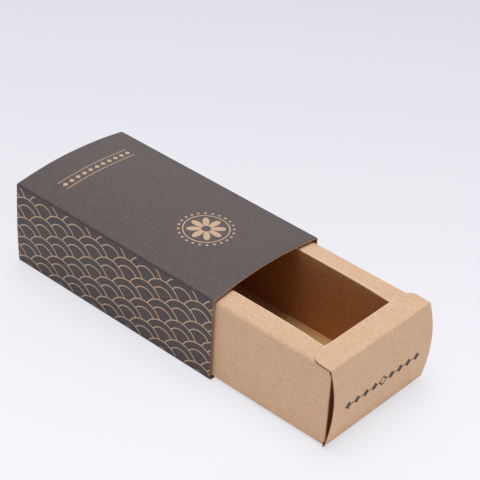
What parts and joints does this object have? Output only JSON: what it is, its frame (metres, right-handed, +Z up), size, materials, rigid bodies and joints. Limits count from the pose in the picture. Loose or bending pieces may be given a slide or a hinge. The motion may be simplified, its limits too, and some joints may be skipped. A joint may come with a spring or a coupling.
{
  "type": "sliding drawer gift box",
  "caption": "Folded paperboard sleeve, open at both mouths, with a hollow-walled tray that slides out as a drawer for a small gift.",
  "frame": {"origin": "centre of the sleeve's underside, on the surface the box rests on", "axes": "+Z up, Y along the sleeve's length with the tray sliding out towards -Y, X across the width"},
  "size_m": [0.0588, 0.1638, 0.0393],
  "materials": {
    "printed_board": "matt dark print on kraft board",
    "kraft_board": "uncoated kraft board",
    "dried_glue": "dried white glue"
  },
  "bodies": {
    "sleeve": {"sleeve_bottom": "printed_board", "sleeve_left_side": "printed_board", "sleeve_top": "printed_board", "sleeve_right_side": "printed_board", "sleeve_seam_flap": "kraft_board", "sleeve_seam_glue": "dried_glue"},
    "tray": {"tray_base": "kraft_board", "tray_left_outer_wall": "kraft_board", "tray_right_outer_wall": "kraft_board", "tray_left_rim": "kraft_board", "tray_right_rim": "kraft_board", "tray_left_inner_wall": "kraft_board", "tray_right_inner_wall": "kraft_board", "tray_left_foot_flap": "kraft_board", "tray_right_foot_flap": "kraft_board", "tray_left_foot_glue": "dried_glue", "tray_right_foot_glue": "dried_glue", "front_left_corner_flap": "kraft_board", "front_right_corner_flap": "kraft_board", "back_left_corner_flap": "kraft_board", "back_right_corner_flap": "kraft_board", "front_end_panel": "kraft_board", "back_end_panel": "kraft_board", "front_top_strip": "kraft_board", "back_top_strip": "kraft_board", "front_inner_wall": "kraft_board", "back_inner_wall": "kraft_board", "front_tuck_flap": "kraft_board", "back_tuck_flap": "kraft_board"}
  },
  "joints": [
    {"name": "tray_slide", "type": "slide", "parent": "sleeve", "child": "tray", "axis": [0, -1, 0], "range_m": [-0.0551, 0.035]}
  ]
}
